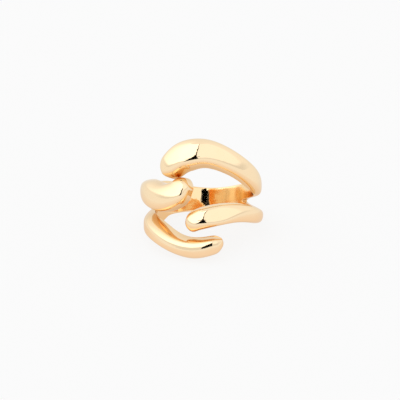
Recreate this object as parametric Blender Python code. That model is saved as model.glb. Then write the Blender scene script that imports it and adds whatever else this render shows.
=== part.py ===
"""A wide cast finger ring: a flat shank at the back splits at each side into two domed lobes, which sweep round
to the front and end there in free rounded tips. It is one casting, so it is one solid.

Each lobe is a table of sections round the finger. A coarse cage of quads runs through the sections' points, and a
Subdivision Surface modifier turns it into the smooth casting. Lengths in the tables are millimetres."""

import math
from collections import namedtuple

import bmesh
import bpy
import numpy as np
from mathutils import Matrix, Vector

MM = 0.001
FINGER_RADIUS = 8.65  # a ring of inner diameter 17.3 mm, US size 7
SMOOTH_LEVELS = 2
GOLD = (0.985, 0.77, 0.49, 1.0)

# How the ring lies on a table: on the low edge of its long left lobe and on the shank's edge behind.
LEAN_BACK = 23.5  # degrees
ROLL_RIGHT = 0.2

# angle: degrees round the finger from the front, positive towards +X. height: the section's middle along the finger.
# width: across the lobe, square to its run. rise: the crest above the finger. crest: where the crest lies across
# the width, from -1 at the lower edge to 1 at the upper. above, below: how round the section is on either side of the
# crest, from 0 for a straight wall down to the finger to 1 for a full cheek.
Section = namedtuple("Section", "angle height width rise crest above below", defaults=(0, 1, 1))
# nose: how far the rounded tip runs on past the last section. turn: how far its run swings, in degrees, upwards.
Lobe = namedtuple("Lobe", "sections nose turn")

# The back of the ring, from its left fork to its right fork. Its rows stop at the rise: the shank is a flat band.
SHANK = [
    Section(-128, -0.2, 6.2, 1.4),
    Section(-151, -0.1, 4.85, 1.2),
    Section(-174, 0, 4.35, 1.2),
    Section(-197, 0.15, 4.9, 1.2),
    Section(-220, 0.3, 6.2, 1.4),
]
UPPER_RIGHT = Lobe(
    [
        Section(114, 2.5, 2.95, 1.4, 0, 0.6, 0.6),
        Section(94, 3.2, 3.45, 1.45, -0.1, 0.6, 0.5),
        Section(70, 4.45, 4.0, 1.7, -0.1, 0.6, 0.4),
        Section(47, 6.05, 4.15, 1.9, -0.05, 0.6, 0.3),
        Section(26, 7.35, 4.6, 2.1, 0, 0.6, 0.2),
        Section(7, 8.05, 5.1, 2.6, 0, 0.6, 0.2),
        Section(-9, 7.65, 5.6, 3.2, -0.05, 0.6, 0.2),
        Section(-18, 7.0, 5.5, 3.45, -0.05, 0.6, 0.2),
        Section(-25, 6.05, 5.1, 3.45, -0.05, 0.6, 0.3),
    ],
    3.15,
    8,
)
LOWER_RIGHT = Lobe(
    [
        Section(114, -1.9, 2.9, 1.6, 0, 0.6, 0.6),
        Section(94, -2.2, 2.8, 2.1, 0, 0.6, 0.7),
        Section(70, -2.0, 3.0, 2.4, 0.1, 0.7, 0.8),
        Section(47, -1.85, 3.4, 2.5, 0, 0.7, 0.9),
        Section(27, -2.3, 3.7, 2.6, -0.55, 0.8, 1),
        Section(11, -3.05, 3.85, 2.65, -0.35, 0.7, 1),
        Section(2, -3.65, 3.65, 2.6, -0.25, 0.6, 1),
    ],
    2.2,
    -28,
)
UPPER_LEFT = Lobe(
    [
        Section(-112, 1.3, 3.1, 2.1, 0, 0.6, 0.7),
        Section(-97, 1.2, 3.4, 2.7, 0, 0.6, 0.8),
        Section(-78, 0.95, 4.3, 3.0, 0, 0.5, 0.8),
        Section(-58, 0.4, 5.0, 3.2, 0, 0.5, 0.8),
        Section(-40, -0.1, 5.1, 3.35, 0, 0.5, 0.8),
        Section(-26.5, 0.2, 5.0, 3.45, 0, 0.6, 0.6),
        Section(-18.5, 0.9, 4.75, 3.45, -0.05, 0.7, 0.5),
        Section(-15.2, 1.75, 4.0, 3.35, -0.05, 0.8, 0.5),
    ],
    1.9,
    32,
)
LOWER_LEFT = Lobe(
    [
        Section(-113, -2.85, 3.4, 1.5, 0, 0.4, 0.6),
        Section(-91, -4.2, 3.65, 1.75, 0, 0.2, 0.6),
        Section(-66, -5.15, 3.95, 2.1, -0.15, 0, 0.5),
        Section(-42, -6.35, 4.05, 2.5, -0.23, 0, 0.5),
        Section(-19, -7.95, 3.75, 2.7, -0.15, 0, 0.5),
        Section(2, -8.5, 3.8, 2.95, -0.05, 0.05, 0.55),
        Section(18, -7.95, 3.45, 3.5, 0.15, 0.2, 0.6),
    ],
    2.5,
    16,
)

# A section's flank, from its side to its shoulder. The outs are shares of the half width, the shoulder's measured
# from the crest, and the ups are shares of the rise.
Flank = namedtuple("Flank", "side_out side_up shoulder_out shoulder_up")
CHEEK = Flank(1, 0.42, 0.84, 0.81)
WALL = Flank(0.93, 0.25, 0.5, 0.94)
INNER_EDGE = 0.84
BORE_DEPTH = 0.2  # the casting is this much too tight, until the finger hole is bored
BORE_ROUNDING = 0.1
SHANK_EDGE = 0.92
SHANK_MID = 0.46

# The tip's rounded end: how much of the width is left at each share of the nose.
NOSE = ((0.45, 0.9), (0.85, 0.56))
TIP_RISE = 0.35  # the share of the rise that the nose keeps when its width is gone
POINT_UP = 0.3
INTERPOLATION_ROUNDS = 2


def on_finger(angle, height, up):
    """The point at this angle in radians, at this height along the finger and this far above the finger's surface."""
    radius = FINGER_RADIUS + up
    return np.array(
        (radius * math.sin(angle), -radius * math.cos(angle), height), float
    )


def flank(fullness):
    return Flank(*(wall + (cheek - wall) * fullness for wall, cheek in zip(WALL, CHEEK)))


def lobe_outline(section, shrink=1):
    """The section's eight (across, up) points in millimetres, upper inner edge first, then down the inside."""
    half, rise = section.width * shrink / 2, section.rise * (TIP_RISE + (1 - TIP_RISE) * shrink)
    ridge = section.crest * half
    upper, lower = flank(section.above), flank(section.below)
    return [
        (INNER_EDGE * half, -BORE_DEPTH),
        (0, -BORE_DEPTH),
        (-INNER_EDGE * half, -BORE_DEPTH),
        (-lower.side_out * half, lower.side_up * rise),
        (ridge - (half + ridge) * lower.shoulder_out, lower.shoulder_up * rise),
        (ridge, rise),
        (ridge + (half - ridge) * upper.shoulder_out, upper.shoulder_up * rise),
        (upper.side_out * half, upper.side_up * rise),
    ]


def shank_outline(width, rise):
    """The band's twelve (across, up) points, in the same order."""
    half = width / 2
    steps = [SHANK_EDGE * half, SHANK_MID * half, 0, -SHANK_MID * half, -SHANK_EDGE * half]
    inner = [(across, -BORE_DEPTH) for across in steps]
    outer = [(across, rise) for across in reversed(steps)]
    return inner + [(-half, rise / 2)] + outer + [(half, rise / 2)]


def placed(outline, angle, height, run, rise):
    """Stands an outline across a run, the direction (round the finger, along it) in which the lobe goes there."""
    side = 1 if run[0] > 0 else -1
    across = (-side * run[1], side * run[0])
    middle = FINGER_RADIUS + rise / 2
    return [
        on_finger(angle + v * across[0] / middle, height + v * across[1], up)
        for v, up in outline
    ]


def runs_of(rows):
    """The unit direction of the path through each row, from its neighbours."""
    path = np.array([(math.radians(r.angle) * FINGER_RADIUS, r.height) for r in rows])
    steps = np.gradient(path, axis=0)
    return steps / np.linalg.norm(steps, axis=1)[:, None]


def lobe_loops(lobe, fork):
    """The lobe's loops of eight points after the fork, and the point that closes its tip."""
    runs = runs_of([fork] + lobe.sections)[1:]
    loops = [
        placed(lobe_outline(s), math.radians(s.angle), s.height, run, s.rise)
        for s, run in zip(lobe.sections, runs)
    ]
    last, run = lobe.sections[-1], runs[-1]
    radius = FINGER_RADIUS + last.rise / 2
    side = 1 if run[0] > 0 else -1

    def along(share):
        """The tip's path at this share of the nose, swinging by the lobe's turn."""
        swing = side * math.radians(lobe.turn * share)
        heading = (
            run[0] * math.cos(swing) - run[1] * math.sin(swing),
            run[0] * math.sin(swing) + run[1] * math.cos(swing),
        )
        return (
            math.radians(last.angle) + lobe.nose * share * heading[0] / radius,
            last.height + lobe.nose * share * heading[1],
            heading,
        )

    for share, shrink in NOSE:
        angle, height, heading = along(share)
        loops.append(placed(lobe_outline(last, shrink), angle, height, heading, last.rise))
    angle, height, _ = along(1)
    return loops, on_finger(angle, height, last.rise * POINT_UP)


class Cage:
    """Points and quads of the coarse mesh."""

    def __init__(self):
        self.points, self.quads = [], []

    def add(self, points):
        start = len(self.points)
        self.points.extend(points)
        return list(range(start, len(self.points)))

    def bridge(self, loop, following):
        for i in range(len(loop)):
            j = (i + 1) % len(loop)
            self.quads.append((loop[i], loop[j], following[j], following[i]))

    def close(self, loop, tip):
        for i in range(0, len(loop), 2):
            before, after = loop[i - 1], loop[(i + 1) % len(loop)]
            self.quads.append((before, loop[i], after, tip))


def grow_lobe(cage, lobe, fork_loop, fork):
    loops, tip = lobe_loops(lobe, fork)
    previous = fork_loop
    for points in loops:
        loop = cage.add(points)
        cage.bridge(previous, loop)
        previous = loop
    cage.close(previous, cage.add([tip])[0])


def half_section(fork, upper):
    """The upper or lower half of the shank's section at a fork, as the start of a lobe's path."""
    side = 1 if upper else -1
    return Section(fork.angle, fork.height + side * fork.width / 4, fork.width / 2, fork.rise)


def ring_cage():
    cage = Cage()
    shank = []
    for s in SHANK:
        outline = shank_outline(s.width, s.rise)
        shank.append(cage.add(placed(outline, math.radians(s.angle), s.height, (1, 0), s.rise)))
    for loop, following in zip(shank, shank[1:]):
        cage.bridge(following, loop)
    for loop, fork, upper, lower in (
        (shank[0], SHANK[0], UPPER_LEFT, LOWER_LEFT),
        (shank[-1], SHANK[-1], UPPER_RIGHT, LOWER_RIGHT),
    ):
        fork = fork._replace(angle=(fork.angle + 180) % 360 - 180)
        web = cage.add([on_finger(math.radians(fork.angle), fork.height, fork.rise / 2)])[0]
        iu, ia, ic, ib, il, ml, ol, ob, oc, oa, ou, mu = loop
        grow_lobe(cage, upper, [iu, ia, ic, web, oc, oa, ou, mu], half_section(fork, True))
        grow_lobe(cage, lower, [ic, ib, il, ml, ol, ob, oc, web], half_section(fork, False))
    return cage


def limit_weights(count, quads):
    """Row i holds the weights that give point i's place on the smooth limit surface (Catmull-Clark)."""
    weights = np.zeros((count, count))
    valence = np.zeros(count)
    for quad in quads:
        for k in range(4):
            i = quad[k]
            valence[i] += 1
            weights[i, quad[(k + 1) % 4]] += 2
            weights[i, quad[k - 1]] += 2
            weights[i, quad[(k + 2) % 4]] += 1
    for i, n in enumerate(valence):
        weights[i, i] += n * n
        weights[i] /= n * (n + 5)
    return weights


def through_points(points, quads):
    """Moves the cage out so that its smooth surface passes through the given points."""
    target = np.array(points)
    weights = limit_weights(len(points), quads)
    cage = target.copy()
    for _ in range(INTERPOLATION_ROUNDS):
        cage += target - weights @ cage
    return cage


def resting():
    """The turn that leans the ring back as it lies on a table."""
    return (
        Matrix.Rotation(math.radians(ROLL_RIGHT), 3, "Y")
        @ Matrix.Rotation(math.radians(-LEAN_BACK), 3, "X")
    )


def gold():
    material = bpy.data.materials.new("gold_plate")
    material.use_nodes = True
    shader = material.node_tree.nodes["Principled BSDF"]
    shader.inputs["Base Color"].default_value = GOLD
    shader.inputs["Metallic"].default_value = 1.0
    shader.inputs["Roughness"].default_value = 0.06
    return material


def bore(mesh):
    """Opens the finger hole to its true round size, with a soft edge where the bore runs out."""
    for vertex in mesh.vertices:
        radius = math.hypot(vertex.co.x, vertex.co.y)
        over = radius - FINGER_RADIUS * MM
        opened = FINGER_RADIUS * MM + (over + math.hypot(over, BORE_ROUNDING * MM)) / 2
        vertex.co.x *= opened / radius
        vertex.co.y *= opened / radius


def build(levels=SMOOTH_LEVELS):
    cage = ring_cage()
    points = through_points(cage.points, cage.quads) * MM
    mesh = bpy.data.meshes.new("cast_ring")
    mesh.from_pydata([tuple(p) for p in points], [], cage.quads)
    work = bmesh.new()
    work.from_mesh(mesh)
    bmesh.ops.recalc_face_normals(work, faces=work.faces)
    work.to_mesh(mesh)
    work.free()
    mesh.shade_smooth()
    ring = bpy.data.objects.new("cast_ring", mesh)
    bpy.context.scene.collection.objects.link(ring)
    smooth = ring.modifiers.new("smooth", "SUBSURF")
    smooth.levels = smooth.render_levels = levels
    bpy.context.view_layer.update()
    cast = bpy.data.meshes.new_from_object(ring.evaluated_get(bpy.context.evaluated_depsgraph_get()))
    ring.modifiers.remove(smooth)
    bore(cast)
    ring.data = cast
    cast.name = "cast_ring"
    cast.materials.append(gold())
    return ring


def settle(ring):
    """Lays the ring down, with its lowest point on the ground and its middle over the origin."""
    ring.data.transform(resting().to_4x4())
    co = np.array([v.co for v in ring.data.vertices])
    low, high = co.min(0), co.max(0)
    ring.data.transform(
        Matrix.Translation((-(low[0] + high[0]) / 2, -(low[1] + high[1]) / 2, -low[2]))
    )


def main():
    for obj in list(bpy.data.objects):
        bpy.data.objects.remove(obj)
    settle(build())


if __name__ == "__main__":
    main()
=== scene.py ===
"""Looks of a gold-plated finger ring: the same casting as the CAD part, cut finer, in polished gold under
soft studio light. Lengths in the tables are millimetres."""

import math
from collections import namedtuple

import bmesh
import bpy
import numpy as np
from mathutils import Matrix, Vector

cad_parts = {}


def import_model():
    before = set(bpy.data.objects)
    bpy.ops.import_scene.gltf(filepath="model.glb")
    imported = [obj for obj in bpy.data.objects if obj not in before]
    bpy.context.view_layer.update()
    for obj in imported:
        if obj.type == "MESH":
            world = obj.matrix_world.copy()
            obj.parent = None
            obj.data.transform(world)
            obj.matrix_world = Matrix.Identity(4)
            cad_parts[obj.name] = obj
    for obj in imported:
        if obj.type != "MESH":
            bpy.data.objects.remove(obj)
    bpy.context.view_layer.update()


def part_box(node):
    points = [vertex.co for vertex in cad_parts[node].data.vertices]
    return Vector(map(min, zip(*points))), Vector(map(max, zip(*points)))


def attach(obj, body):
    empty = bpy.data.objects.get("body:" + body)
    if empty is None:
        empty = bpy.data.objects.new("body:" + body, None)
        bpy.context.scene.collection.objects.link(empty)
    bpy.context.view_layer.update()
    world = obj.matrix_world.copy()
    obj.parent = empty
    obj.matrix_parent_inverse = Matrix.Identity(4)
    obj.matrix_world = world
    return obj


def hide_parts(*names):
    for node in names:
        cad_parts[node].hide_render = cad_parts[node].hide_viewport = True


MM = 0.001

# Camera: where it stands round the ring and how wide it sees, with angles in degrees, and where the finger
# hole's middle falls in the picture, in millimetres at the ring.
CAMERA_AZIMUTH = 10.0
CAMERA_ELEVATION = 23.5
CAMERA_DISTANCE = 300.0
CAMERA_FIELD = 13.7
CAMERA_NEAREST = 1.0
HOLE_RIGHT_OF_CENTRE = 0.81
HOLE_ABOVE_CENTRE = 0.09

# The golds are reflected colours: two that the plating drifts between, a deeper tone painted into recesses
# as shade, the finger hole's, deepened to paint its mirrored bounces, and the pale one it takes on at a
# grazing look.
PALER_GOLD = (0.99, 0.785, 0.525)
RICHER_GOLD = (0.98, 0.765, 0.485)
PAINTED_RECESS_SHADE_GOLD = (0.83, 0.54, 0.26)
BORE_GOLD_PAINTED_DEEP = (0.96, 0.72, 0.42)
GRAZED_GOLD = (0.9, 0.88, 0.84)
GOLD_BOUNCES = 10  # the finger hole mirrors itself many times over

# A recess is where the ring's own metal, out to this reach, hides the view; painted shade darkens the gold
# there. The range is the share of the view that is open there, from full painted shade to none at all.
RECESS_SHADE_REACH = 6.0
RECESS_SHADE_RANGE = (0.35, 0.95)
RECESS_SHADE_SAMPLES = 8

# How far over the finger the finger hole's look turns into the outside's.
BORE_LOOK = (0.05, 0.25)

# Roughness: as polished, and where handling has dulled it, which comes in over a range of the wear's noise.
# The finger hole is brushed on its right side, more and more from the first to the second distance off its
# middle.
POLISHED = 0.045
HANDLED = 0.09
HANDLED_RANGE = (0.45, 0.75)
BRUSHED = 0.13
BRUSHED_SIDE = (0.2, 2.0)

# The fine relief: the scales are patches to a millimetre and the depths millimetres. LEVEL_RELIEF is the
# height where there are no polishing lines.
WEAR_SCALE = 0.5
WEAR_DETAIL = 4.0
PEEL_SCALE = 0.9
PEEL_DEPTH = 0.012
POLISH_LINES = (3.5, 3.5, 0.6)
LINE_DEPTH = 0.005
RELIEF_DETAIL = 2.0
LEVEL_RELIEF = 0.5

# The tent's light, as (share of the way round, radiance): from right of the camera by the right side, the
# back and the left side to left of it. The walls' foot has its own light, and the roof hangs in its own
# shade. WALLS_FROM and ROOF_FROM are the heights where the walls above the foot and the roof take over, from
# 0 for level to 1 for straight up.
TENT_ROUND = (
    (0, 1.13),
    (0.2, 1.13),
    (0.24, 1),
    (0.5, 0.95),
    (0.6, 1.05),
    (0.7, 1.25),
    (0.8, 1.5),
    (0.9, 1.6),
    (1, 1.6),
)
TENT_FOOT = ((0, 0.8), (0.2, 0.8), (0.3, 0.95), (0.7, 0.95), (0.8, 0.82), (1, 0.8))
TENT_ROOF = 0.97
TENT_MOST = 1.7
WALLS_FROM = (0.08, 0.2)
ROOF_FROM = (0.96, 0.98)

# The dark opening that the camera looks through, as (degrees right of the camera, degrees up) round its
# outline, and a dark bar across it at the camera's own height, which the finger hole mirrors as a wide black
# patch. Both are OPENING_AWAY from the ring.
OPENING = (
    (-16, 1),
    (9, 1),
    (6, 20),
    (3, 30),
    (1.8, 36),
    (1.6, 78),
    (-0.4, 78),
    (-0.6, 36),
    (-4, 26),
    (-9, 14),
)
BAR = ((-17, 22.5), (9, 22.3), (8.5, 24.6), (-16, 24.6))
OPENING_AWAY = 450.0

# The paper floor: how brightly it glows, how white it is under the tent, and half its side.
FLOOR_GLOW = 0.846
FLOOR_WHITE = 0.1
FLOOR_HALF = 3000.0

# A painted shadow and painted bounce light, on a glowing sheet seen only in reflections: the paper under the
# ring as its gold mirrors it, darkest and warmest out to SHADE_FULL, less and less shaded out to SHADE_END,
# and from there warmed by the light off the gold, less and less out to the end of the sheet's reach.
SHADED_PAPER = (0.78, 0.62, 0.48)
PAINTED_BOUNCE_PAPER = (0.94, 0.81, 0.73)
SHADE_FULL = 2.0
SHADE_END = 12.5
PAINTED_BOUNCE_END = 38.0
PAINTED_SHEET_HEIGHT = 0.02

FINGER_RADIUS = 8.65  # a ring of inner diameter 17.3 mm, US size 7
SMOOTH_LEVELS = 4  # the CAD part's own cage, two levels finer

# How the ring lies on a table, in degrees: on the low edge of its long left lobe and on the shank's edge
# behind.
LEAN_BACK = 23.5
ROLL_RIGHT = 0.2

# angle: degrees round the finger from the front, positive towards +X. height: the section's middle along the
# finger. width: across the lobe, square to its run. rise: the crest above the finger. crest: where the crest
# lies across the width, from -1 at the lower edge to 1 at the upper. above, below: how round the section is
# on either side of the crest, from 0 for a straight wall down to the finger to 1 for a full cheek.
Section = namedtuple("Section", "angle height width rise crest above below", defaults=(0, 1, 1))
# nose: how far the rounded tip runs on past the last section. turn: how far its run swings upwards, in
# degrees.
Lobe = namedtuple("Lobe", "sections nose turn")

# The back of the ring, from its left fork to its right fork. Its rows stop at the rise: the shank is a flat
# band.
SHANK = [
    Section(-128, -0.2, 6.2, 1.4),
    Section(-151, -0.1, 4.85, 1.2),
    Section(-174, 0, 4.35, 1.2),
    Section(-197, 0.15, 4.9, 1.2),
    Section(-220, 0.3, 6.2, 1.4),
]
UPPER_RIGHT = Lobe(
    [
        Section(114, 2.5, 2.95, 1.4, 0, 0.6, 0.6),
        Section(94, 3.2, 3.45, 1.45, -0.1, 0.6, 0.5),
        Section(70, 4.45, 4.0, 1.7, -0.1, 0.6, 0.4),
        Section(47, 6.05, 4.15, 1.9, -0.05, 0.6, 0.3),
        Section(26, 7.35, 4.6, 2.1, 0, 0.6, 0.2),
        Section(7, 8.05, 5.1, 2.6, 0, 0.6, 0.2),
        Section(-9, 7.65, 5.6, 3.2, -0.05, 0.6, 0.2),
        Section(-18, 7.0, 5.5, 3.45, -0.05, 0.6, 0.2),
        Section(-25, 6.05, 5.1, 3.45, -0.05, 0.6, 0.3),
    ],
    nose=3.15,
    turn=8,
)
LOWER_RIGHT = Lobe(
    [
        Section(114, -1.9, 2.9, 1.6, 0, 0.6, 0.6),
        Section(94, -2.2, 2.8, 2.1, 0, 0.6, 0.7),
        Section(70, -2.0, 3.0, 2.4, 0.1, 0.7, 0.8),
        Section(47, -1.85, 3.4, 2.5, 0, 0.7, 0.9),
        Section(27, -2.3, 3.7, 2.6, -0.55, 0.8, 1),
        Section(11, -3.05, 3.85, 2.65, -0.35, 0.7, 1),
        Section(2, -3.65, 3.65, 2.6, -0.25, 0.6, 1),
    ],
    nose=2.2,
    turn=-28,
)
UPPER_LEFT = Lobe(
    [
        Section(-112, 1.3, 3.1, 2.1, 0, 0.6, 0.7),
        Section(-97, 1.2, 3.4, 2.7, 0, 0.6, 0.8),
        Section(-78, 0.95, 4.3, 3.0, 0, 0.5, 0.8),
        Section(-58, 0.4, 5.0, 3.2, 0, 0.5, 0.8),
        Section(-40, -0.1, 5.1, 3.35, 0, 0.5, 0.8),
        Section(-26.5, 0.2, 5.0, 3.45, 0, 0.6, 0.6),
        Section(-18.5, 0.9, 4.75, 3.45, -0.05, 0.7, 0.5),
        Section(-15.2, 1.75, 4.0, 3.35, -0.05, 0.8, 0.5),
    ],
    nose=1.9,
    turn=32,
)
LOWER_LEFT = Lobe(
    [
        Section(-113, -2.85, 3.4, 1.5, 0, 0.4, 0.6),
        Section(-91, -4.2, 3.65, 1.75, 0, 0.2, 0.6),
        Section(-66, -5.15, 3.95, 2.1, -0.15, 0, 0.5),
        Section(-42, -6.35, 4.05, 2.5, -0.23, 0, 0.5),
        Section(-19, -7.95, 3.75, 2.7, -0.15, 0, 0.5),
        Section(2, -8.5, 3.8, 2.95, -0.05, 0.05, 0.55),
        Section(18, -7.95, 3.45, 3.5, 0.15, 0.2, 0.6),
    ],
    nose=2.5,
    turn=16,
)

# A section's flank, from its side to its shoulder. The outs are shares of the half width, the shoulder's
# measured from the crest, and the ups are shares of the rise.
Flank = namedtuple("Flank", "side_out side_up shoulder_out shoulder_up")
CHEEK = Flank(1, 0.42, 0.84, 0.81)
WALL = Flank(0.93, 0.25, 0.5, 0.94)
INNER_EDGE = 0.84  # where the inside ends, as a share of the half width
BORE_DEPTH = 0.2  # the casting is this much too tight, until the finger hole is bored
BORE_ROUNDING = 0.1

# Where the band's points lie across it, as shares of its half width, and which of its twelve points are the
# middle ones inside and outside.
SHANK_EDGE = 0.92
SHANK_MID = 0.46
INNER_MIDDLE = 2
OUTER_MIDDLE = 8

# The tip's rounded end: (share of the nose, how much of the width is left there).
NOSE = ((0.45, 0.9), (0.85, 0.56))
TIP_RISE = 0.35  # the share of the rise that the nose keeps when its width is gone
POINT_UP = 0.3  # how high the tip's last point lies, as a share of the rise
INTERPOLATION_ROUNDS = 2


def on_finger(angle, height, up):
    """The point at this angle in radians, this far along the finger and this far above its surface."""
    radius = FINGER_RADIUS + up
    return np.array((radius * math.sin(angle), -radius * math.cos(angle), height), float)


def flank(fullness):
    """The flank between a straight wall, at 0, and a full cheek, at 1."""
    return Flank(*(wall + (cheek - wall) * fullness for wall, cheek in zip(WALL, CHEEK)))


def lobe_outline(section, shrink=1):
    """The section's eight (across, up) points, from the upper inner edge down the inside and up outside."""
    half = section.width * shrink / 2
    rise = section.rise * (TIP_RISE + (1 - TIP_RISE) * shrink)
    ridge = section.crest * half
    upper = flank(section.above)
    lower = flank(section.below)
    return [
        (INNER_EDGE * half, -BORE_DEPTH),
        (0, -BORE_DEPTH),
        (-INNER_EDGE * half, -BORE_DEPTH),
        (-lower.side_out * half, lower.side_up * rise),
        (ridge - (half + ridge) * lower.shoulder_out, lower.shoulder_up * rise),
        (ridge, rise),
        (ridge + (half - ridge) * upper.shoulder_out, upper.shoulder_up * rise),
        (upper.side_out * half, upper.side_up * rise),
    ]


def shank_outline(width, rise):
    """The band's twelve (across, up) points, in the same order."""
    half = width / 2
    steps = [SHANK_EDGE * half, SHANK_MID * half, 0, -SHANK_MID * half, -SHANK_EDGE * half]
    inner = [(across, -BORE_DEPTH) for across in steps]
    outer = [(across, rise) for across in reversed(steps)]
    return inner + [(-half, rise / 2)] + outer + [(half, rise / 2)]


def placed(outline, angle, height, run, rise):
    """Stands an outline across a run, which is the lobe's direction there: (round the finger, along it)."""
    side = 1 if run[0] > 0 else -1
    across = (-side * run[1], side * run[0])
    middle = FINGER_RADIUS + rise / 2
    return [on_finger(angle + off * across[0] / middle, height + off * across[1], up) for off, up in outline]


def runs_of(rows):
    """The unit direction of the path through each row, from its neighbours."""
    path = np.array([(math.radians(row.angle) * FINGER_RADIUS, row.height) for row in rows])
    steps = np.gradient(path, axis=0)
    return steps / np.linalg.norm(steps, axis=1)[:, None]


def lobe_loops(lobe, fork):
    """The lobe's loops of eight points after the fork, and the point that closes its tip."""
    runs = runs_of([fork] + lobe.sections)[1:]
    loops = [
        placed(lobe_outline(section), math.radians(section.angle), section.height, run, section.rise)
        for section, run in zip(lobe.sections, runs)
    ]
    last = lobe.sections[-1]
    run = runs[-1]
    radius = FINGER_RADIUS + last.rise / 2
    side = 1 if run[0] > 0 else -1

    def along(share):
        """The tip's path at this share of the nose, swinging by the lobe's turn."""
        swing = side * math.radians(lobe.turn * share)
        heading = (
            run[0] * math.cos(swing) - run[1] * math.sin(swing),
            run[0] * math.sin(swing) + run[1] * math.cos(swing),
        )
        return (
            math.radians(last.angle) + lobe.nose * share * heading[0] / radius,
            last.height + lobe.nose * share * heading[1],
            heading,
        )

    for share, shrink in NOSE:
        angle, height, heading = along(share)
        loops.append(placed(lobe_outline(last, shrink), angle, height, heading, last.rise))
    angle, height, _ = along(1)
    return loops, on_finger(angle, height, last.rise * POINT_UP)


class Cage:
    """Points and quads of the coarse mesh."""

    def __init__(self):
        self.points = []
        self.quads = []

    def add(self, points):
        """Takes the points in and returns their numbers."""
        start = len(self.points)
        self.points.extend(points)
        return list(range(start, len(self.points)))

    def bridge(self, loop, following):
        """Joins two loops of as many points with a band of quads."""
        for i in range(len(loop)):
            j = (i + 1) % len(loop)
            self.quads.append((loop[i], loop[j], following[j], following[i]))

    def close(self, loop, tip):
        """Closes a loop with quads that meet at the tip."""
        for i in range(0, len(loop), 2):
            before = loop[i - 1]
            after = loop[(i + 1) % len(loop)]
            self.quads.append((before, loop[i], after, tip))


def grow_lobe(cage, lobe, fork_loop, fork):
    """Adds a lobe that starts from the fork's loop of points."""
    loops, tip = lobe_loops(lobe, fork)
    previous = fork_loop
    for points in loops:
        loop = cage.add(points)
        cage.bridge(previous, loop)
        previous = loop
    cage.close(previous, cage.add([tip])[0])


def half_section(fork, upper):
    """The upper or lower half of the shank's section at a fork, as the start of a lobe's path."""
    side = 1 if upper else -1
    return Section(fork.angle, fork.height + side * fork.width / 4, fork.width / 2, fork.rise)


def ring_cage():
    """The whole ring's cage: the band, and the two lobes that each of its ends forks into."""
    cage = Cage()
    shank = []
    for row in SHANK:
        outline = shank_outline(row.width, row.rise)
        points = placed(outline, math.radians(row.angle), row.height, (1, 0), row.rise)
        shank.append(cage.add(points))
    for loop, following in zip(shank, shank[1:]):
        cage.bridge(following, loop)
    for loop, fork, upper, lower in (
        (shank[0], SHANK[0], UPPER_LEFT, LOWER_LEFT),
        (shank[-1], SHANK[-1], UPPER_RIGHT, LOWER_RIGHT),
    ):
        # The fork's angle is brought to between -180 and 180, as the lobes' angles are.
        fork = fork._replace(angle=(fork.angle + 180) % 360 - 180)
        web = cage.add([on_finger(math.radians(fork.angle), fork.height, fork.rise / 2)])
        upper_loop = loop[: INNER_MIDDLE + 1] + web + loop[OUTER_MIDDLE:]
        lower_loop = loop[INNER_MIDDLE : OUTER_MIDDLE + 1] + web
        grow_lobe(cage, upper, upper_loop, half_section(fork, True))
        grow_lobe(cage, lower, lower_loop, half_section(fork, False))
    return cage


def limit_weights(count, quads):
    """Row i holds the Catmull-Clark weights that give point i's place on the smooth surface."""
    weights = np.zeros((count, count))
    valence = np.zeros(count)
    for quad in quads:
        for k in range(4):
            i = quad[k]
            valence[i] += 1
            weights[i, quad[(k + 1) % 4]] += 2
            weights[i, quad[k - 1]] += 2
            weights[i, quad[(k + 2) % 4]] += 1
    for i, n in enumerate(valence):
        weights[i, i] += n * n
        weights[i] /= n * (n + 5)
    return weights


def through_points(points, quads):
    """Moves the cage out so that its smooth surface passes through the given points."""
    target = np.array(points)
    weights = limit_weights(len(points), quads)
    cage = target.copy()
    for _ in range(INTERPOLATION_ROUNDS):
        cage += target - weights @ cage
    return cage


def stance():
    """Leans the ring back as it lies on a table."""
    return (
        Matrix.Rotation(math.radians(ROLL_RIGHT), 4, "Y")
        @ Matrix.Rotation(math.radians(-LEAN_BACK), 4, "X")
    )


def bore(mesh):
    """Opens the finger hole to its true round size, with a soft edge where the bore runs out."""
    for vertex in mesh.vertices:
        radius = math.hypot(vertex.co.x, vertex.co.y)
        over = radius - FINGER_RADIUS * MM
        opened = FINGER_RADIUS * MM + (over + math.hypot(over, BORE_ROUNDING * MM)) / 2
        vertex.co.x *= opened / radius
        vertex.co.y *= opened / radius


def casting():
    """The ring about its finger hole's middle, with the finger along Z, smoothed and bored."""
    cage = ring_cage()
    points = through_points(cage.points, cage.quads) * MM
    mesh = bpy.data.meshes.new("fine_ring_cage")
    mesh.from_pydata([tuple(p) for p in points], [], cage.quads)
    work = bmesh.new()
    work.from_mesh(mesh)
    bmesh.ops.recalc_face_normals(work, faces=work.faces)
    work.to_mesh(mesh)
    work.free()
    mesh.shade_smooth()
    ring = bpy.data.objects.new("fine_ring", mesh)
    bpy.context.scene.collection.objects.link(ring)
    smooth = ring.modifiers.new("smooth", "SUBSURF")
    smooth.levels = smooth.render_levels = SMOOTH_LEVELS
    bpy.context.view_layer.update()
    smoothed = ring.evaluated_get(bpy.context.evaluated_depsgraph_get())
    cast = bpy.data.meshes.new_from_object(smoothed)
    ring.modifiers.remove(smooth)
    bore(cast)
    ring.data = cast
    return ring


def stand(ring):
    """Puts the ring where the CAD part lies, leaning back over the origin. Returns the hole's middle."""
    mesh = ring.data
    places = mesh.attributes.new("finger_place", "FLOAT_VECTOR", "POINT")
    for place, vertex in zip(places.data, mesh.vertices):
        place.vector = vertex.co / MM
    mesh.transform(stance())
    low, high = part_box("cast_ring")
    co = np.array([v.co for v in mesh.vertices])
    shift = Vector((np.array(low + high) - co.min(0) - co.max(0)) / 2)
    shift.z = low.z - co[:, 2].min()
    mesh.transform(Matrix.Translation(shift))
    return shift


def material(name):
    """A new material, with its nodes and links."""
    made = bpy.data.materials.new(name)
    made.use_nodes = True
    return made, made.node_tree.nodes, made.node_tree.links


def solid(colour):
    """The colour as a socket takes it, with its alpha."""
    return (*colour, 1)


def grey(value):
    """A colour of this grey."""
    return solid((value, value, value))


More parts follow.
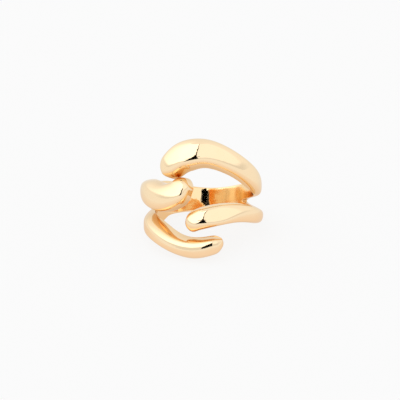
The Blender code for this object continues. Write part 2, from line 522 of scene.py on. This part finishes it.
def ramp(nodes, links, value, stops):
    """A soft ramp of a value through the given (place, grey) stops. Returns its result."""
    node = nodes.new("ShaderNodeValToRGB")
    node.color_ramp.interpolation = "EASE"
    made = node.color_ramp.elements
    for i, (place, shade) in enumerate(stops):
        stop = made[i] if i < 2 else made.new(place)
        stop.position = place
        stop.color = grey(shade)
    links.new(value, node.inputs["Fac"])
    return node.outputs["Color"]


def rise_between(low, high, places):
    """A ramp's stops that hold at low, rise between the two places, and hold at high."""
    return [(0, low), (places[0], low), (places[1], high), (1, high)]


def mix(nodes, links, share, first, second):
    """A Mix Color node. Each input is a socket to link or a value. Returns its result."""
    node = nodes.new("ShaderNodeMix")
    node.data_type = "RGBA"
    node.blend_type = "MIX"
    colours = [s for s in node.inputs if s.type == "RGBA"]
    for socket, value in zip([node.inputs["Factor"]] + colours, (share, first, second)):
        if isinstance(value, bpy.types.NodeSocket):
            links.new(value, socket)
        else:
            socket.default_value = value
    return [s for s in node.outputs if s.type == "RGBA"][0]


def share_of(nodes, links, value, low, high):
    """How far a value has gone from low to high, held between 0 and 1."""
    node = nodes.new("ShaderNodeMapRange")
    links.new(value, node.inputs["Value"])
    node.inputs["From Min"].default_value = low
    node.inputs["From Max"].default_value = high
    return node.outputs["Result"]


def noise(nodes, links, place, scale, detail=RELIEF_DETAIL):
    """Soft random patches, from 0 to 1."""
    node = nodes.new("ShaderNodeTexNoise")
    node.inputs["Scale"].default_value = scale
    node.inputs["Detail"].default_value = detail
    links.new(place, node.inputs["Vector"])
    return node.outputs["Fac"]


def bump(nodes, links, height, depth, before=None):
    """A bump of this depth in millimetres, laid over the one before."""
    node = nodes.new("ShaderNodeBump")
    node.inputs["Distance"].default_value = depth * MM
    links.new(height, node.inputs["Height"])
    if before:
        links.new(before, node.inputs["Normal"])
    return node.outputs["Normal"]


def gold():
    """Polished plating: a soft orange-peel outside, and fine lines from polishing in the finger hole."""
    made, nodes, links = material("polished_gold")
    shader = nodes["Principled BSDF"]
    shader.inputs["Metallic"].default_value = 1.0
    shader.inputs["Specular Tint"].default_value = solid(GRAZED_GOLD)
    place = nodes.new("ShaderNodeAttribute")
    place.attribute_name = "finger_place"
    place = place.outputs["Vector"]

    parts = nodes.new("ShaderNodeSeparateXYZ")
    links.new(place, parts.inputs["Vector"])
    flat = nodes.new("ShaderNodeCombineXYZ")
    links.new(parts.outputs["X"], flat.inputs["X"])
    links.new(parts.outputs["Y"], flat.inputs["Y"])
    radius = nodes.new("ShaderNodeVectorMath")
    radius.operation = "LENGTH"
    links.new(flat.outputs["Vector"], radius.inputs[0])
    look_range = [FINGER_RADIUS + up for up in BORE_LOOK]
    outside = share_of(nodes, links, radius.outputs["Value"], *look_range)

    stretched = nodes.new("ShaderNodeMapping")
    stretched.inputs["Scale"].default_value = POLISH_LINES
    links.new(place, stretched.inputs["Vector"])
    lines = noise(nodes, links, stretched.outputs["Vector"], 1.0)
    lines = mix(nodes, links, outside, lines, grey(LEVEL_RELIEF))
    peel = noise(nodes, links, place, PEEL_SCALE)
    normal = bump(nodes, links, lines, LINE_DEPTH)
    links.new(bump(nodes, links, peel, PEEL_DEPTH, normal), shader.inputs["Normal"])

    # Painted shade: the gold darkens towards the recess tone where the ring's own metal hides the view.
    recess_shade = nodes.new("ShaderNodeAmbientOcclusion")
    recess_shade.only_local = True
    recess_shade.samples = RECESS_SHADE_SAMPLES
    recess_shade.inputs["Distance"].default_value = RECESS_SHADE_REACH * MM
    unshaded_share = share_of(nodes, links, recess_shade.outputs["AO"], *RECESS_SHADE_RANGE)

    wear = noise(nodes, links, place, WEAR_SCALE, WEAR_DETAIL)
    worn = ramp(nodes, links, wear, rise_between(POLISHED, HANDLED, HANDLED_RANGE))
    brushed = share_of(nodes, links, parts.outputs["X"], *BRUSHED_SIDE)
    hole = mix(nodes, links, brushed, grey(POLISHED), grey(BRUSHED))
    roughness = mix(nodes, links, outside, hole, worn)
    links.new(roughness, shader.inputs["Roughness"])
    colour = mix(nodes, links, wear, solid(PALER_GOLD), solid(RICHER_GOLD))
    # The finger hole's gold is deepened to paint the deeper orange of its mirrored bounces: painted
    # reflection.
    colour = mix(nodes, links, outside, solid(BORE_GOLD_PAINTED_DEEP), colour)
    # Painted shade in the recesses.
    colour = mix(nodes, links, unshaded_share, solid(PAINTED_RECESS_SHADE_GOLD), colour)
    links.new(colour, shader.inputs["Base Color"])
    return made


def plain(name, value, glow=0.0):
    """A matt grey that may glow white."""
    made, nodes, _ = material(name)
    shader = nodes["Principled BSDF"]
    shader.inputs["Base Color"].default_value = grey(value)
    shader.inputs["Roughness"].default_value = 1.0
    shader.inputs["Specular IOR Level"].default_value = 0.0
    shader.inputs["Emission Color"].default_value = grey(1)
    shader.inputs["Emission Strength"].default_value = glow
    return made


def square(half, height):
    """The corners of a level square over the origin."""
    signs = ((-1, -1), (1, -1), (1, 1), (-1, 1))
    return [Vector((x * half, y * half, height)) * MM for x, y in signs]


def sheet(name, corners, made, seen=True):
    """A flat stage sheet through the given corners. An unseen one shows only in reflections."""
    mesh = bpy.data.meshes.new(name)
    mesh.from_pydata([tuple(c) for c in corners], [], [tuple(range(len(corners)))])
    mesh.materials.append(made)
    sheet_object = bpy.data.objects.new(name, mesh)
    bpy.context.scene.collection.objects.link(sheet_object)
    if not seen:
        sheet_object.visible_camera = False
        sheet_object.visible_diffuse = False
        sheet_object.visible_shadow = False
        sheet_object.visible_transmission = False


def painted_shadow_and_bounce():
    """A painted shadow and painted bounce light: glowing paper in the ring's shade round the origin, that
    glows warm further out and then fades to nothing.
    """
    made, nodes, links = material("painted_shadow_and_bounce")
    nodes.remove(nodes["Principled BSDF"])
    place = nodes.new("ShaderNodeTexCoord")
    reach = nodes.new("ShaderNodeVectorMath")
    reach.operation = "LENGTH"
    links.new(place.outputs["Object"], reach.inputs[0])
    lit = share_of(nodes, links, reach.outputs["Value"], SHADE_FULL * MM, SHADE_END * MM)
    far = share_of(nodes, links, reach.outputs["Value"], SHADE_END * MM, PAINTED_BOUNCE_END * MM)
    glow = nodes.new("ShaderNodeEmission")
    colour = mix(nodes, links, lit, solid(SHADED_PAPER), solid(PAINTED_BOUNCE_PAPER))
    links.new(colour, glow.inputs["Color"])
    clear = nodes.new("ShaderNodeBsdfTransparent")
    both = nodes.new("ShaderNodeMixShader")
    links.new(far, both.inputs["Fac"])
    links.new(glow.outputs["Emission"], both.inputs[1])
    links.new(clear.outputs["BSDF"], both.inputs[2])
    links.new(both.outputs["Shader"], nodes["Material Output"].inputs["Surface"])
    return made


def towards(azimuth, elevation, distance):
    """The point this many millimetres off in a compass direction: 0 is -Y, the ring's front, 90 is +X."""
    turn = math.radians(azimuth)
    level = math.cos(math.radians(elevation))
    way = Vector((math.sin(turn) * level, -math.cos(turn) * level, math.sin(math.radians(elevation))))
    return way * distance * MM


def tent_band(nodes, links, way_round, lights):
    """One band of the tent's light, as shares of TENT_MOST."""
    return ramp(nodes, links, way_round, [(place, light / TENT_MOST) for place, light in lights])


def tent():
    """A white light tent round the table, brighter on its left, whose two ends meet at the camera."""
    world = bpy.data.worlds.new("tent")
    world.use_nodes = True
    nodes, links = world.node_tree.nodes, world.node_tree.links
    way = nodes.new("ShaderNodeTexCoord").outputs["Generated"]
    turned = nodes.new("ShaderNodeMapping")
    # The gradient begins at -X, and is turned to begin at the camera.
    turned.inputs["Rotation"].default_value[2] = -math.radians(90 + CAMERA_AZIMUTH)
    links.new(way, turned.inputs["Vector"])
    round_tent = nodes.new("ShaderNodeTexGradient")
    round_tent.gradient_type = "RADIAL"
    links.new(turned.outputs["Vector"], round_tent.inputs["Vector"])
    foot = tent_band(nodes, links, round_tent.outputs["Fac"], TENT_FOOT)
    upper = tent_band(nodes, links, round_tent.outputs["Fac"], TENT_ROUND)
    parts = nodes.new("ShaderNodeSeparateXYZ")
    links.new(way, parts.inputs["Vector"])
    above_foot = ramp(nodes, links, parts.outputs["Z"], rise_between(0, 1, WALLS_FROM))
    walls = mix(nodes, links, above_foot, foot, upper)
    roof = ramp(nodes, links, parts.outputs["Z"], rise_between(0, 1, ROOF_FROM))
    light = mix(nodes, links, roof, walls, grey(TENT_ROOF / TENT_MOST))
    shown = nodes["Background"]
    shown.inputs["Strength"].default_value = TENT_MOST
    links.new(light, shown.inputs["Color"])
    bpy.context.scene.world = world


def studio():
    """The stage: a paper floor, the tent, and the dark opening that the camera looks through."""
    sheet("floor", square(FLOOR_HALF, 0), plain("floor_paper", FLOOR_WHITE, FLOOR_GLOW))
    # A glowing sheet just above the floor, seen only in reflections, that paints the ring's shadow and
    # bounce light.
    sheet("painted_shadow_sheet", square(PAINTED_BOUNCE_END, PAINTED_SHEET_HEIGHT), painted_shadow_and_bounce(), False)
    tent()
    dark = plain("dark_opening", 0.0)
    for name, outline in (("camera_opening", OPENING), ("opening_bar", BAR)):
        corners = [towards(CAMERA_AZIMUTH + right, up, OPENING_AWAY) for right, up in outline]
        sheet(name, corners, dark, False)


def camera(hole):
    """Stands the camera so that the finger hole's middle falls at its place in the picture."""
    away = towards(CAMERA_AZIMUTH, CAMERA_ELEVATION, CAMERA_DISTANCE)
    turn = (-away).to_track_quat("-Z", "Y")
    aim = hole - turn @ Vector((HOLE_RIGHT_OF_CENTRE * MM, HOLE_ABOVE_CENTRE * MM, 0))
    lens = bpy.data.cameras.new("camera")
    lens.angle = math.radians(CAMERA_FIELD)
    lens.clip_start = CAMERA_NEAREST * MM
    eye = bpy.data.objects.new("camera", lens)
    bpy.context.scene.collection.objects.link(eye)
    eye.rotation_euler = turn.to_euler()
    eye.location = aim + away
    bpy.context.scene.camera = eye


def main():
    """Dresses the frame."""
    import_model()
    ring = casting()
    hole = stand(ring)
    ring.data.materials.clear()
    ring.data.materials.append(gold())
    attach(ring, "root")
    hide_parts("cast_ring")
    studio()
    camera(hole)
    bpy.context.scene.view_settings.view_transform = "Standard"
    bpy.context.scene.cycles.glossy_bounces = GOLD_BOUNCES
    bpy.context.view_layer.update()


main()
